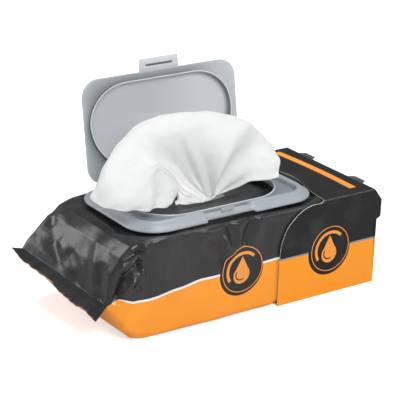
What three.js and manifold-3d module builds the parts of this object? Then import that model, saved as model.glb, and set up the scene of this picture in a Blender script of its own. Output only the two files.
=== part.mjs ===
// Pack of cleansing wipes: a film pack with a flip-top lid, standing in a folded card sleeve.
// Millimetres, +Z up. The origin is on the pack's flat bottom, below the middle of the flip-top.
// +X runs along the pack towards the sleeve, +Y to the back where the lid is hinged.
import * as THREE from "three";
import { mergeVertices } from "three/addons/utils/BufferGeometryUtils.js";
import Module from "manifold-3d";

// Film pack
const PACK_LEFT = -84; // where the full section begins
const PACK_RIGHT = 124;
const PACK_HALF_DEPTH = 53;
const PACK_HEIGHT = 76.5;
const PACK_EDGE_R = 5;
const FILM_WALL = 0.6;
const PACK_END_ROUND = 6; // length over which the right end rounds off
const PACK_END_DROP = 4;
const FIN_LENGTH = 12; // crimped seam at the left end
const FIN_THICK = 1.2;
const FIN_HALF_DEPTH = 49;
const FIN_ROOT_X = -114;
const FIN_ROOT_Z = 40;
const FIN_SKEW_X = -12; // how far the back end of the seam stands out past the middle
const FIN_TILT_Z = 5; // how far the back end of the seam stands above the middle
const FIN_DROOP = 5;
const FIN_TWIST = 5;
const MOUTH = { x: -4, y: -4, halfX: 30, halfY: 13 }; // hole torn in the top of the film

// Stack of folded wipes, and the wipe that is pulled half out
const STACK_CLEAR = 0.35;
const NECK = { x: -3, y: -7, halfX: 12, halfY: 3.5 };
const WIPE_STATIONS = [
  // x, y, z, half depth, half height
  [-100, -18, 94, 5, 3.5],
  [-90, -20, 103, 18, 12],
  [-72, -20, 114, 23, 23],
  [-46, -14, 119, 24, 28],
  [-16, -8, 120, 20, 28],
  [10, -8, 117, 20, 26],
  [34, -14, 111, 19, 23],
  [54, -20, 101, 15, 15],
  [67, -22, 90, 5, 4.5],
];
const WIPE_SIDES = 16;

// Flip-top base
const SEAT_GAP = 0.3;
const BASE_HALF_X = 80.5;
const BASE_FRONT = -47;
const BASE_BACK = 49;
const BASE_CORNER_R = 24;
const FLANGE_THICK = 1.1;
const SKIRT_RUN = 5.4;
const BEAD_IN = 10.5; // from the outline to the bead's inner wall
const BEAD_TOP = 6; // above the film
const CHANNEL_TOP = 2.8; // above the film
const OVAL_HALF_X = 61.5;
const OVAL_HALF_Y = 31.2;
const OVAL_Y = -1;
const OVAL_RIM_WALL = 1.2;
const OVAL_RIM_TOP = 4.7; // above the film
const NOTCH = { x: -2.5, halfX: 20.5, floor: 3.5 }; // gap in the front bead for the tab
const LATCH = { x: -2.5, halfX: 5.5, depth: 2 };

// Lid
const LID_WALL = 1.2;
const LID_HALF_X = 69;
const LID_CLEAR = 0.5; // to the bead's inner wall
const LID_CORNER_R = 14;
const LID_OPEN_DEG = 100;
const HINGE_INSET = 5.2; // from the base's back outline
const HINGE_BEAD_R = 0.6;
const HINGE_HALF_X = 52;
const HINGE_CLEAR = 0.4;
const RIB_WALL = 1;
const RIB_CLEAR = 0.4;
const RIB_DROP = 1.9;
const TAB = { x: 0, halfX: 17.5, length: 9.5 };
const SLOT = { halfX: 12, clear: 1.5 };

// Card sleeve
const CARD = 0.6;
const SLEEVE_LEFT = 37;
const SLEEVE_RIGHT = 130; // at the foot
const SLEEVE_RIGHT_TOP = 126;
const SLEEVE_HALF_DEPTH = 55;
const SLEEVE_FIT = 0.3; // above and below the film
const CORNER_TOP_X = 76; // where the side's cut edge meets the top fold
const SIDE_CURVE = [
  // x from the sleeve's left edge, z from its top fold
  [0, -41.5],
  [-0.1, -33.5],
  [2, -24.5],
  [5, -17.5],
  [10, -11.5],
  [19, -4.5],
  [27.5, -1.8],
  [35, -2.1],
];
const TOP_CURVE = [
  // x from the corner, share of the half depth
  [1.7, 0.964],
  [2, 0.818],
  [4.4, 0.582],
  [7.6, 0.382],
  [10.4, 0.2],
  [11.8, 0],
];
const TOP_TAB = { y: 31, half: 9, out: 5, chamfer: 3 };
const SIDE_TAB = { low: 52, high: 67.8, out: 3.4 };

// Values that follow
const SLEEVE_HEIGHT = PACK_HEIGHT + SLEEVE_FIT + CARD;
const LIFT = CARD + SLEEVE_FIT; // the film stands this high over the sleeve's floor card
const SEAT_Z = PACK_HEIGHT + SEAT_GAP;
const BEAD_Z = PACK_HEIGHT + BEAD_TOP;
const CHANNEL_Z = PACK_HEIGHT + CHANNEL_TOP;
const RIM_Z = PACK_HEIGHT + OVAL_RIM_TOP;
const BASE_MID_Y = (BASE_FRONT + BASE_BACK) / 2;
const BASE_HALF_Y = (BASE_BACK - BASE_FRONT) / 2;
const HINGE_Y = BASE_BACK - HINGE_INSET;
const HINGE_Z = RIM_Z + HINGE_CLEAR + LID_WALL / 2;
const LID_REACH = HINGE_Y - (BASE_FRONT + BEAD_IN + LID_CLEAR);
const NOTCH_Z = PACK_HEIGHT + NOTCH.floor;
const TAB_END = LID_REACH + TAB.length;
const LATCH_Y = HINGE_Y - LID_REACH - TAB.length / 2;

const wasm = await Module();
wasm.setup();

function solid(geometry) {
  const bare = new THREE.BufferGeometry().setAttribute("position", geometry.getAttribute("position"));
  if (geometry.index) bare.setIndex(geometry.index);
  const merged = mergeVertices(bare.index ? bare.toNonIndexed() : bare, 1e-4);
  return new wasm.Manifold(
    new wasm.Mesh({
      numProp: 3,
      vertProperties: new Float32Array(merged.attributes.position.array),
      triVerts: new Uint32Array(merged.index.array),
    }),
  );
}

function mesh(name, manifold, material) {
  const got = manifold.getMesh();
  const positions = new Float32Array(got.numVert * 3);
  for (let i = 0; i < got.numVert; i++)
    positions.set(got.vertProperties.subarray(i * got.numProp, i * got.numProp + 3), 3 * i);
  const geometry = new THREE.BufferGeometry()
    .setAttribute("position", new THREE.BufferAttribute(positions, 3))
    .setIndex(new THREE.BufferAttribute(new Uint32Array(got.triVerts), 1));
  geometry.computeVertexNormals();
  const made = new THREE.Mesh(geometry, material);
  made.name = name;
  return made;
}

// Skins a row of rings with the same number of points. A closed row joins its last ring to its
// first, as a tyre does; an open row has its two ends capped.
function loft(rings, closed = false) {
  const n = rings[0].length;
  const positions = rings.flat(2);
  const index = [];
  const count = closed ? rings.length : rings.length - 1;
  for (let k = 0; k < count; k++) {
    const a = k * n;
    const b = ((k + 1) % rings.length) * n;
    for (let i = 0; i < n; i++) {
      const j = (i + 1) % n;
      index.push(a + i, a + j, b + j, a + i, b + j, b + i);
    }
  }
  if (!closed) {
    for (const [ring, flip] of [[0, true], [rings.length - 1, false]]) {
      const middle = positions.length / 3;
      const sum = [0, 0, 0];
      for (const point of rings[ring]) point.forEach((v, c) => (sum[c] += v / n));
      positions.push(...sum);
      for (let i = 0; i < n; i++) {
        const j = (i + 1) % n;
        const [p, q] = flip ? [ring * n + j, ring * n + i] : [ring * n + i, ring * n + j];
        index.push(middle, p, q);
      }
    }
  }
  return new THREE.BufferGeometry()
    .setAttribute("position", new THREE.BufferAttribute(new Float32Array(positions), 3))
    .setIndex(index);
}

function box(x0, x1, y0, y1, z0, z1) {
  const made = new THREE.BoxGeometry(x1 - x0, y1 - y0, z1 - z0);
  made.translate((x0 + x1) / 2, (y0 + y1) / 2, (z0 + z1) / 2);
  return solid(made);
}

// Extrudes an outline of [x, y] points from z0 to z1.
function plate(points, z0, z1, holes = []) {
  const shape = new THREE.Shape(points.map(([x, y]) => new THREE.Vector2(x, y)));
  for (const hole of holes) shape.holes.push(new THREE.Path(hole.map(([x, y]) => new THREE.Vector2(x, y))));
  const made = new THREE.ExtrudeGeometry(shape, { depth: z1 - z0, bevelEnabled: false });
  made.translate(0, 0, z0);
  return made;
}

// Unit rounded rectangle in the YZ plane: corner directions with their arc offsets.
const ARC_STEPS = 4;
const CORNERS = [[1, 1], [-1, 1], [-1, -1], [1, -1]];
const SECTION = CORNERS.flatMap(([sy, sz], corner) =>
  Array.from({ length: ARC_STEPS + 1 }, (_, i) => {
    const angle = (Math.PI / 2) * (corner + i / ARC_STEPS);
    return [sy, sz, Math.cos(angle), Math.sin(angle)];
  }),
);

// One cross section of the pack. y runs from -1 at the front to 1 at the back, and skew, tilt and
// inset bend the section and draw it in by a wall.
function packRing({ x, skew = 0, mid = 0, half, bottom, top, tilt = 0, radius }, inset = 0) {
  const w = half - inset;
  const lo = bottom + inset;
  const hi = top - inset;
  const r = Math.max(0.2, Math.min(radius - inset, (hi - lo) / 2 - 0.05));
  return SECTION.map(([sy, sz, c, s]) => {
    const y = sy * (w - r) + r * c;
    const z = (lo + hi) / 2 + sz * ((hi - lo) / 2 - r) + r * s;
    const share = y / half;
    return [x + skew * share, mid + y, z + tilt * share];
  });
}

const finStation = {
  x: FIN_ROOT_X,
  skew: FIN_SKEW_X,
  half: FIN_HALF_DEPTH - 3,
  bottom: FIN_ROOT_Z - FIN_THICK / 2,
  top: FIN_ROOT_Z + FIN_THICK / 2,
  tilt: FIN_TILT_Z,
  radius: FIN_THICK / 2,
};
const finTip = {
  ...finStation,
  x: FIN_ROOT_X - FIN_LENGTH,
  skew: FIN_SKEW_X / 2,
  half: FIN_HALF_DEPTH,
  bottom: finStation.bottom - FIN_DROOP,
  top: finStation.top - FIN_DROOP,
  tilt: FIN_TILT_Z + FIN_TWIST,
};
const taperLow = {
  x: FIN_ROOT_X + 0.34 * (PACK_LEFT - FIN_ROOT_X),
  skew: FIN_SKEW_X * 0.66,
  half: PACK_HALF_DEPTH - 3,
  bottom: FIN_ROOT_Z * 0.5,
  top: FIN_ROOT_Z + 0.52 * (PACK_HEIGHT - FIN_ROOT_Z),
  tilt: FIN_TILT_Z * 0.5,
  radius: PACK_EDGE_R * 1.6,
};
const taperHigh = {
  x: FIN_ROOT_X + 0.75 * (PACK_LEFT - FIN_ROOT_X),
  skew: FIN_SKEW_X * 0.25,
  half: PACK_HALF_DEPTH - 0.6,
  bottom: FIN_ROOT_Z * 0.075,
  top: FIN_ROOT_Z + 0.92 * (PACK_HEIGHT - FIN_ROOT_Z),
  radius: PACK_EDGE_R * 1.6,
};
const body = {
  x: PACK_LEFT,
  half: PACK_HALF_DEPTH,
  bottom: 0,
  top: PACK_HEIGHT,
  radius: PACK_EDGE_R,
};
const beforeSleeve = { ...body, x: SLEEVE_LEFT - 4 };
const inSleeve = { ...body, x: SLEEVE_LEFT - 0.6, bottom: LIFT };
const rightEdge = { ...inSleeve, x: PACK_RIGHT - PACK_END_ROUND };
const rightEnd = {
  ...inSleeve,
  x: PACK_RIGHT,
  half: PACK_HALF_DEPTH - PACK_END_DROP,
  bottom: LIFT + PACK_END_DROP,
  top: PACK_HEIGHT - PACK_END_DROP,
};

function filmWrapper() {
  const outer = [finTip, finStation, taperLow, taperHigh, body, beforeSleeve, inSleeve, rightEdge, rightEnd];
  const hollowStart = { ...taperLow, x: taperLow.x + 2 };
  const hollowEnd = { ...rightEnd, x: PACK_RIGHT - FILM_WALL };
  const inner = [hollowStart, taperHigh, body, beforeSleeve, inSleeve, rightEdge, hollowEnd];
  const skin = solid(loft(outer.map((s) => packRing(s))));
  const hollow = solid(loft(inner.map((s) => packRing(s, FILM_WALL))));
  const mouth = new THREE.CylinderGeometry(1, 1, 4 * FILM_WALL, 40).rotateX(Math.PI / 2);
  mouth.scale(MOUTH.halfX, MOUTH.halfY, 1).translate(MOUTH.x, MOUTH.y, PACK_HEIGHT);
  return skin.subtract(hollow).subtract(solid(mouth));
}

function wipeStack() {
  const inset = FILM_WALL + STACK_CLEAR;
  const start = { ...inSleeve, x: PACK_LEFT + STACK_CLEAR };
  const edge = { ...rightEdge, x: rightEdge.x - STACK_CLEAR };
  const end = { ...rightEnd, x: PACK_RIGHT - inset };
  return solid(loft([start, edge, end].map((s) => packRing(s, inset))));
}

function pulledWipe() {
  const rings = WIPE_STATIONS.map(([x, y, z, halfY, halfZ]) =>
    Array.from({ length: WIPE_SIDES }, (_, i) => {
      const angle = (2 * Math.PI * i) / WIPE_SIDES;
      return [x, y + halfY * Math.cos(angle), z + halfZ * Math.sin(angle)];
    }),
  );
  const foot = PACK_HEIGHT - FILM_WALL + STACK_CLEAR;
  const neckRings = [
    [foot, 1],
    [BEAD_Z, 1],
    [BEAD_Z + 22, 2],
  ].map(([z, wide]) =>
    Array.from({ length: WIPE_SIDES }, (_, i) => {
      const angle = (2 * Math.PI * i) / WIPE_SIDES;
      return [
        NECK.x + NECK.halfX * wide * Math.cos(angle),
        NECK.y + NECK.halfY * wide * Math.sin(angle),
        z,
      ];
    }),
  );
  return solid(loft(rings)).add(solid(loft(neckRings)));
}

// Distance to a rounded rectangle of half size hx by hy, negative inside.
function roundedDistance(x, y, hx, hy, r) {
  const qx = Math.abs(x) - (hx - r);
  const qy = Math.abs(y) - (hy - r);
  return Math.hypot(Math.max(qx, 0), Math.max(qy, 0)) + Math.min(Math.max(qx, qy), 0) - r;
}

const OUTLINE_STEPS = 88;
function outline(hx, hy, r, midY, z) {
  return Array.from({ length: OUTLINE_STEPS }, (_, i) => {
    const t = (2 * Math.PI * (i + 0.5)) / OUTLINE_STEPS;
    const length = Math.hypot(hx * Math.cos(t), hy * Math.sin(t));
    const dx = (hx * Math.cos(t)) / length;
    const dy = (hy * Math.sin(t)) / length;
    let near = 0;
    let far = hx + hy;
    for (let step = 0; step < 40; step++) {
      const at = (near + far) / 2;
      if (roundedDistance(dx * at, dy * at, hx, hy, r) < 0) near = at;
      else far = at;
    }
    return [dx * near, midY + dy * near, z];
  });
}
const baseRing = (inset, z) =>
  outline(BASE_HALF_X - inset, BASE_HALF_Y - inset, BASE_CORNER_R - inset, BASE_MID_Y, z);
const ovalRing = (out, z) => outline(OVAL_HALF_X + out, OVAL_HALF_Y + out, OVAL_HALF_Y + out, OVAL_Y, z);

function lidBase() {
  const crest = (SKIRT_RUN + BEAD_IN) / 2;
  const rings = [
    baseRing(0, SEAT_Z),
    baseRing(0, SEAT_Z + FLANGE_THICK),
    baseRing(SKIRT_RUN, BEAD_Z - 1.6),
    baseRing(SKIRT_RUN + 0.8, BEAD_Z - 0.5),
    baseRing(crest - 0.5, BEAD_Z),
    baseRing(crest + 1.2, BEAD_Z),
    baseRing(BEAD_IN, BEAD_Z - 0.7),
    baseRing(BEAD_IN, CHANNEL_Z),
    ovalRing(OVAL_RIM_WALL, CHANNEL_Z),
    ovalRing(OVAL_RIM_WALL, RIM_Z),
    ovalRing(0, RIM_Z),
    ovalRing(0, SEAT_Z),
  ];
  const hingeHalf = LID_HALF_X + LID_CLEAR;
  const recess = box(-hingeHalf, hingeHalf, OVAL_Y + OVAL_HALF_Y, HINGE_Y + 1.6, RIM_Z, BEAD_Z + 9);
  const gap = box(NOTCH.x - NOTCH.halfX, NOTCH.x + NOTCH.halfX, BASE_FRONT - 1, BASE_FRONT + BEAD_IN, NOTCH_Z, BEAD_Z + 9);
  const latch = box(
    LATCH.x - LATCH.halfX,
    LATCH.x + LATCH.halfX,
    LATCH_Y - LATCH.depth / 2,
    LATCH_Y + LATCH.depth / 2,
    NOTCH_Z - 1,
    HINGE_Z + LID_WALL / 2,
  );
  return solid(loft(rings, true)).subtract(recess).subtract(gap).add(latch);
}

// The lid is drawn shut, about its hinge line, and is turned open where it is placed.
function flipLid() {
  const points = [];
  const half = LID_HALF_X;
  const arc = (cx, cy, from) => {
    for (let i = 0; i <= 6; i++) {
      const a = from + (Math.PI / 2) * (i / 6);
      points.push([cx + LID_CORNER_R * Math.cos(a), cy + LID_CORNER_R * Math.sin(a)]);
    }
  };
  const back = -HINGE_BEAD_R - HINGE_CLEAR;
  points.push([half, back], [HINGE_HALF_X, back], [HINGE_HALF_X, 0], [-HINGE_HALF_X, 0]);
  points.push([-HINGE_HALF_X, back], [-half, back]);
  arc(-half + LID_CORNER_R, -LID_REACH + LID_CORNER_R, Math.PI);
  points.push([TAB.x - TAB.halfX, -LID_REACH], [TAB.x - TAB.halfX + 1.5, -TAB_END]);
  points.push([TAB.x + TAB.halfX - 1.5, -TAB_END], [TAB.x + TAB.halfX, -LID_REACH]);
  arc(half - LID_CORNER_R, -LID_REACH + LID_CORNER_R, 1.5 * Math.PI);
  const slotY = LATCH_Y - HINGE_Y;
  const slotHalf = LATCH.depth / 2 + SLOT.clear;
  const slot = [
    [TAB.x - SLOT.halfX, slotY - slotHalf],
    [TAB.x + SLOT.halfX, slotY - slotHalf],
    [TAB.x + SLOT.halfX, slotY + slotHalf],
    [TAB.x - SLOT.halfX, slotY + slotHalf],
  ];
  const sheet = solid(plate(points, -LID_WALL / 2, LID_WALL / 2, [slot]));
  const bead = new THREE.CylinderGeometry(HINGE_BEAD_R, HINGE_BEAD_R, 2 * HINGE_HALF_X, 12);
  bead.rotateZ(Math.PI / 2);
  const toLid = (ring) => ring.map(([x, y]) => [x, y - HINGE_Y]);
  const ribOut = toLid(ovalRing(OVAL_RIM_WALL + RIB_CLEAR + RIB_WALL, 0));
  const ribIn = toLid(ovalRing(OVAL_RIM_WALL + RIB_CLEAR, 0));
  const rib = solid(plate(ribOut, -LID_WALL / 2 - RIB_DROP, 0, [ribIn]));
  return sheet.add(solid(bead)).add(rib);
}

function cardSleeve() {
  const top = SLEEVE_HEIGHT;
  const depth = SLEEVE_HALF_DEPTH;
  const side = [
    [SLEEVE_LEFT, 0],
    ...SIDE_CURVE.map(([x, z]) => [SLEEVE_LEFT + x, top + z]),
    [CORNER_TOP_X, top],
    [SLEEVE_RIGHT_TOP, top],
    [SLEEVE_RIGHT + SIDE_TAB.out - 0.5, SIDE_TAB.high],
    [SLEEVE_RIGHT + SIDE_TAB.out, SIDE_TAB.low + 2],
    [SLEEVE_RIGHT - 0.3, SIDE_TAB.low],
    [SLEEVE_RIGHT, 0],
  ];
  const standing = (points, y0, y1) => plate(points, y0, y1).rotateX(Math.PI / 2).scale(1, -1, 1);
  const sidePanel = (y0, y1) => {
    const made = standing(side, y0, y1);
    const index = made.index ? made.index.array : null;
    const source = made.toNonIndexed ? (made.index ? made.toNonIndexed() : made) : made;
    const p = source.getAttribute("position").array;
    for (let i = 0; i < p.length; i += 9)
      for (let c = 0; c < 3; c++) [p[i + 3 + c], p[i + 6 + c]] = [p[i + 6 + c], p[i + 3 + c]];
    return solid(index ? source : made);
  };
  const front = sidePanel(-depth, -depth + CARD);
  const back = sidePanel(depth - CARD, depth);
  const half = TOP_CURVE.map(([x, share]) => [CORNER_TOP_X + x, -depth * share]);
  const tab = (mid) => [
    [SLEEVE_RIGHT_TOP, mid - TOP_TAB.half],
    [SLEEVE_RIGHT_TOP + TOP_TAB.out, mid - TOP_TAB.half + TOP_TAB.chamfer],
    [SLEEVE_RIGHT_TOP + TOP_TAB.out, mid + TOP_TAB.half - TOP_TAB.chamfer],
    [SLEEVE_RIGHT_TOP, mid + TOP_TAB.half],
  ];
  const topOutline = [
    [CORNER_TOP_X, -depth],
    [SLEEVE_RIGHT_TOP, -depth],
    ...tab(-TOP_TAB.y),
    ...tab(TOP_TAB.y),
    [SLEEVE_RIGHT_TOP, depth],
    [CORNER_TOP_X, depth],
    ...half.slice(0, -1).map(([x, y]) => [x, -y]),
    ...half.slice().reverse(),
  ];
  const topPanel = solid(plate(topOutline, top - CARD, top));
  const floor = box(SLEEVE_LEFT, SLEEVE_RIGHT, -depth, depth, 0, CARD);
  const endRing = (y) => [
    [SLEEVE_RIGHT - CARD, y, 0],
    [SLEEVE_RIGHT, y, 0],
    [SLEEVE_RIGHT_TOP, y, top],
    [SLEEVE_RIGHT_TOP - CARD, y, top],
  ];
  const end = solid(loft([endRing(depth), endRing(-depth)]));
  return front.add(back).add(topPanel).add(floor).add(end);
}

const film = new THREE.MeshStandardMaterial({ color: 0x3a3a3a, roughness: 0.35, metalness: 0 });
const nonwoven = new THREE.MeshStandardMaterial({ color: 0xf6f6f6, roughness: 0.95, metalness: 0 });
const plastic = new THREE.MeshStandardMaterial({ color: 0xc9d1d6, roughness: 0.4, metalness: 0 });
const card = new THREE.MeshStandardMaterial({ color: 0xf19a35, roughness: 0.6, metalness: 0 });

const pack = new THREE.Group();
pack.add(mesh("film_wrapper", filmWrapper(), film));
pack.add(mesh("wipe_stack", wipeStack(), nonwoven));
pack.add(mesh("pulled_wipe", pulledWipe(), nonwoven));
pack.add(mesh("lid_base", lidBase(), plastic));
const hinge = new THREE.Group();
hinge.position.set(0, HINGE_Y, HINGE_Z);
hinge.rotation.x = THREE.MathUtils.degToRad(-LID_OPEN_DEG);
hinge.add(mesh("flip_lid", flipLid(), plastic));
pack.add(hinge);
pack.add(mesh("card_sleeve", cardSleeve(), card));

export default pack;
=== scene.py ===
import math

import bmesh
import bpy
from mathutils import Matrix, Vector, noise


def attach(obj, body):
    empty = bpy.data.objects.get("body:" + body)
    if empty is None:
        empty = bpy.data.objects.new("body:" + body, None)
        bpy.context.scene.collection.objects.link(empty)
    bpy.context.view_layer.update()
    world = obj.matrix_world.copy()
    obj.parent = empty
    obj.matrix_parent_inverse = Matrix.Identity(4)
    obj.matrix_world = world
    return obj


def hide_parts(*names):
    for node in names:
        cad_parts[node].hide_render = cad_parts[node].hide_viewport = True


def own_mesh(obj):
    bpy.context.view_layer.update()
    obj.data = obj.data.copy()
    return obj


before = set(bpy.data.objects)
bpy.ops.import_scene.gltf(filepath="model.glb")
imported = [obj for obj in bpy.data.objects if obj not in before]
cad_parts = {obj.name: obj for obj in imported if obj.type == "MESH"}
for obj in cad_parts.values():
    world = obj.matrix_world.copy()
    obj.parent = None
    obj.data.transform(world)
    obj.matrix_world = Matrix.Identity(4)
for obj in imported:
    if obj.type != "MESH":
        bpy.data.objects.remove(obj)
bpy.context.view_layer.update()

MM = 0.001

# Outlines and heights that several pieces share, in millimetres.
FILM_TOP = 76.5
BASE_HALF_X, BASE_FRONT, BASE_BACK, BASE_CORNER = 80.5, -47.0, 49.0, 24.0
BASE_MID_Y, BASE_HALF_Y = (BASE_FRONT + BASE_BACK) / 2, (BASE_BACK - BASE_FRONT) / 2
OVAL_HALF_X, OVAL_HALF_Y, OVAL_Y = 61.5, 31.2, -1.0
HINGE_Y, HINGE_Z = 43.8, 82.2
LID_HALF_X = 69.0
LATCH_X, LATCH_Y = -2.5, -40.3
SLEEVE_LEFT, SLEEVE_RIGHT, SLEEVE_SHOULDER = 37.0, 130.0, 126.0
SLEEVE_TOP, SLEEVE_HALF = 77.4, 55.0
MOUTH_X, MOUTH_Y, MOUTH_HALF_X, MOUTH_HALF_Y = -2.0, -8.0, 20.0, 4.6


# ---- Camera, at the photograph's angle ----

CAMERA_AT = (-0.6650, -0.9326, 0.5151)
CAMERA_TURN, CAMERA_DROP, CAMERA_ROLL = 35.547, 21.056, 2.113
CAMERA_LENS, CAMERA_SENSOR, CAMERA_NEAR = 147.8, 36.0, 0.05


def place_camera():
    turn, drop, roll = [math.radians(angle) for angle in (CAMERA_TURN, CAMERA_DROP, CAMERA_ROLL)]
    forward = Vector((math.sin(turn) * math.cos(drop), math.cos(turn) * math.cos(drop), -math.sin(drop)))
    right = Vector((math.cos(turn), -math.sin(turn), 0.0))
    up = right.cross(forward)
    side = right * math.cos(roll) + up * math.sin(roll)
    top = up * math.cos(roll) - right * math.sin(roll)
    data = bpy.data.cameras.new("view")
    data.lens, data.sensor_width, data.clip_start = CAMERA_LENS, CAMERA_SENSOR, CAMERA_NEAR
    camera = bpy.data.objects.new("view", data)
    camera.matrix_world = Matrix((
        (side.x, top.x, -forward.x, CAMERA_AT[0]),
        (side.y, top.y, -forward.y, CAMERA_AT[1]),
        (side.z, top.z, -forward.z, CAMERA_AT[2]),
        (0, 0, 0, 1)))
    bpy.context.collection.objects.link(camera)
    bpy.context.scene.camera = camera


place_camera()


# ---- Finishes ----

def tone(text):
    """A colour written as six hex digits, as the numbers a shader wants."""
    parts = [int(text[i:i + 2], 16) / 255 for i in (0, 2, 4)]
    return tuple([c / 12.92 if c <= 0.04045 else ((c + 0.055) / 1.055) ** 2.4 for c in parts] + [1.0])


class Wire:
    """A number that changes over a surface. Sums written on it become nodes."""

    def __init__(self, graph, socket):
        self.graph, self.socket = graph, socket

    def step(self, operation, *others, clamp=False):
        return self.graph.node("ShaderNodeMath", {"operation": operation, "use_clamp": clamp},
                               {0: self, **{i + 1: o for i, o in enumerate(others)}})

    def __add__(self, other): return self.step("ADD", other)
    def __mul__(self, other): return self.step("MULTIPLY", other)
    def __sub__(self, other): return self.step("SUBTRACT", other)
    def __rsub__(self, other): return self * -1.0 + other
    def __truediv__(self, other): return self.step("DIVIDE", other)

    def length(self, other): return (self * self + other * other).step("SQRT")

    def over(self, edge, soft=0.15):
        """1 where the number is above edge, 0 below, with a soft step between."""
        return ((self - edge) / soft + 0.5).step("ADD", 0.0, clamp=True)

    def under(self, edge, soft=0.15): return 1.0 - self.over(edge, soft)
    def between(self, low, high, soft=0.15): return self.over(low, soft) * self.under(high, soft)


class Graph:
    """A tree of shader nodes, each made by node()."""

    def __init__(self, tree):
        self.tree = tree

    def node(self, kind, settings=None, inputs=None, output=0):
        made = self.tree.nodes.new(kind)
        for key, value in (settings or {}).items():
            setattr(made, key, value)
        for key, value in (inputs or {}).items():
            if isinstance(value, Wire):
                self.tree.links.new(value.socket, made.inputs[key])
            else:
                made.inputs[key].default_value = value
        return Wire(self, made.outputs[output]) if made.outputs else None


class Finish(Graph):
    """A material built from a Principled shader."""

    def __init__(self, name, **fixed):
        self.material = bpy.data.materials.new(name)
        self.material.use_nodes = True
        super().__init__(self.material.node_tree)
        self.shader = self.tree.nodes["Principled BSDF"]
        for socket, value in fixed.items():
            self.shader.inputs[socket.replace("_", " ")].default_value = value

    def place(self):
        """Where a point lies on the object, in millimetres."""
        spot = self.node("ShaderNodeTexCoord", output="Object")
        return self.node("ShaderNodeVectorMath", {"operation": "SCALE"}, {0: spot, "Scale": 1 / MM})

    def axes(self, where):
        parts = self.node("ShaderNodeSeparateXYZ", None, {0: where})
        return [Wire(self, socket) for socket in parts.socket.node.outputs]

    def value(self, name): return self.node("ShaderNodeAttribute", {"attribute_name": name}, output="Fac")

    def grain(self, where, scale, detail=3.0, rough=0.55):
        return self.node("ShaderNodeTexNoise", None,
                         {"Vector": where, "Scale": scale, "Detail": detail, "Roughness": rough})

    def mix(self, share, first, second):
        return self.node("ShaderNodeMix", {"data_type": "RGBA"}, {0: share, 6: first, 7: second}, output=2)

    def stretch(self, where, factors):
        return self.node("ShaderNodeVectorMath", {"operation": "MULTIPLY"}, {0: where, 1: factors})

    def feed(self, socket, wire): self.tree.links.new(wire.socket, self.shader.inputs[socket])

    def bump(self, height, distance, strength=1.0, under=None):
        inputs = {"Height": height, "Distance": distance * MM, "Strength": strength}
        if under is not None:
            inputs["Normal"] = under
        made = self.node("ShaderNodeBump", None, inputs)
        self.feed("Normal", made)
        return made


CHARCOAL, CARD_CHARCOAL, ORANGE, WHITE = tone("2B2B2C"), tone("1D1D1E"), tone("FA9B25"), tone("F3F0EE")
BADGE_DARK = tone("1C1B1C")
FILM_BADGE, FILM_BADGE_RADIUS = (3.4, 35.5), 19.6
CARD_BADGE, CARD_BADGE_RADIUS = (84.0, 36.0), 20.0
BADGE_RING, BADGE_ARC, BADGE_RING_OFF = (17.5, 18.15), (12.2, 14.6), 0.9
DROP_RADIUS, DROP_DOWN, DROP_TIP, DROP_SLANT = 7.2, 3.0, 12.0, 0.52
CARD_LINE_LOW, CARD_LINE_HIGH = 36.6, 38.0
CARD_STRIP_X, CARD_STRIP_Y, CARD_STRIP_BOW = (110.6, 116.9), (-44.0, 49.5), 0.0008
SEAM_RIB_PITCH, SEAM_RIBS = 1.45, (0.4, 10.4)


def badge(x, z, middle, radius):
    """Masks of a round badge: its dark disc, its thin ring, and a plain water drop beside a curved arc."""
    dx, dz = x - middle[0], z - middle[1]
    # The ring and the arc lie a little off the disc's middle.
    rx, rz = dx - BADGE_RING_OFF, dz - BADGE_RING_OFF
    ring_away = rx.length(rz)
    ring = ring_away.between(*BADGE_RING, 0.25)
    bowl = dx.length(dz + DROP_DOWN).under(DROP_RADIUS)
    point = (dx.step("ABSOLUTE") + (dz - DROP_TIP) * DROP_SLANT).under(0.0, 0.2) * dz.over(0.3)
    # A curved highlight is cut out of the drop at its lower left.
    shine_x, shine_z = dx + 0.6, dz + 2.6
    shine = shine_x.length(shine_z).between(3.9, 4.9, 0.25) * (shine_x + shine_z).under(-1.2, 0.3)
    drop = bowl.step("MAXIMUM", point) * (1.0 - shine)
    arc = ring_away.between(*BADGE_ARC, 0.25) * (rx * 0.8 - rz).under(-1.5, 0.6)
    return dx.length(dz).under(radius), ring, drop.step("MAXIMUM", arc)


def film_finish():
    """Satin packing film: charcoal, a fine white line, orange below, with a crimped seam and fine creases."""
    f = Finish("printed_film", IOR=1.48)
    where = f.place()
    x, y, z = f.axes(where)
    rise, seam, line = f.value("rise"), f.value("seam"), f.value("line")
    colour = f.mix(rise.over(0.0, 0.2), ORANGE, WHITE)
    colour = f.mix((rise - line).over(0.0, 0.2), colour, CHARCOAL)
    front = y.under(-44.0, 0.5)
    disc, ring, motif = badge(x, z, FILM_BADGE, FILM_BADGE_RADIUS)
    colour = f.mix(disc * front, colour, BADGE_DARK)
    colour = f.mix(ring.step("MAXIMUM", motif) * front, colour, tone("F09A45"))
    cloudy = f.grain(where, 0.03, 4.0)
    f.feed("Base Color", f.mix((cloudy - 0.5) * 0.12, colour, tone("8A8A8A")))
    smears = f.grain(f.stretch(where, (0.06, 0.05, 0.12)), 1.0, 4.0, 0.5)
    f.feed("Roughness", smears * 0.14 + 0.24)
    ribs = (seam * (2 * math.pi / SEAM_RIB_PITCH)).step("SINE")
    ribs = ribs * seam.over(SEAM_RIBS[0], 0.4) * seam.under(SEAM_RIBS[1], 0.6)
    broken = f.grain(f.stretch(where, (0.05, 0.25, 0.05)), 1.0, 2.0) * 0.8 + 0.5
    crinkle = f.grain(f.stretch(where, (0.09, 0.09, 0.05)), 1.0, 6.0, 0.62)
    fine = f.grain(where, 0.9, 2.0)
    first = f.bump(crinkle + fine * 0.03, 1.2, 0.45)
    f.bump(ribs * broken, 0.42, 1.0, first)
    return f.material


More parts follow.
